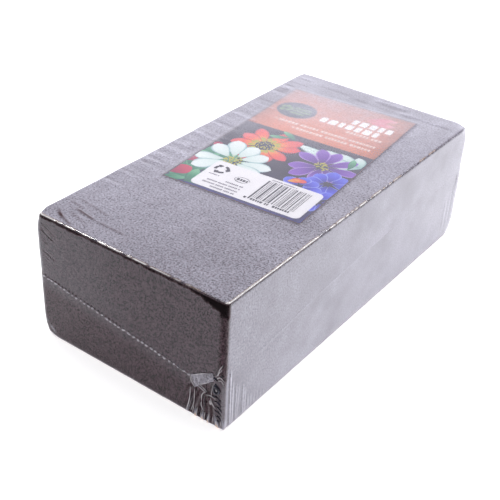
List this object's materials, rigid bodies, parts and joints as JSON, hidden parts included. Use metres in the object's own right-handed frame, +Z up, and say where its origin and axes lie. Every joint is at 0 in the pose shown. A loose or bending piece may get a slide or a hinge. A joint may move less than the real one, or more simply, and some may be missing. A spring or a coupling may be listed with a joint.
{
  "type": "floral foam brick",
  "caption": "Rectangular block of floral foam with a printed card on its top face, wrapped in clear shrink film welded round the middle.",
  "frame": {"origin": "under the middle of the wrapped brick, on the surface that it stands on", "axes": "+X across the brick, to the right as the card reads; +Y along the brick, from the end shown at the front to the far end; +Z up"},
  "size_m": [0.1124, 0.222, 0.0697],
  "materials": {
    "foam": "matte, cut open-cell foam",
    "card": "printed in full colour, satin",
    "film": "clear, glossy shrink film",
    "film_weld": "melted bead of clear film",
    "film_ear": "gathered layers of clear film"
  },
  "bodies": {
    "root": {"foam_brick": "foam", "label_card": "card", "film_upper_leaf": "film", "film_lower_leaf": "film", "weld_front": "film_weld", "weld_back": "film_weld", "weld_left_side": "film_weld", "film_ear_front": "film_ear", "film_ear_back": "film_ear"}
  },
  "joints": []
}
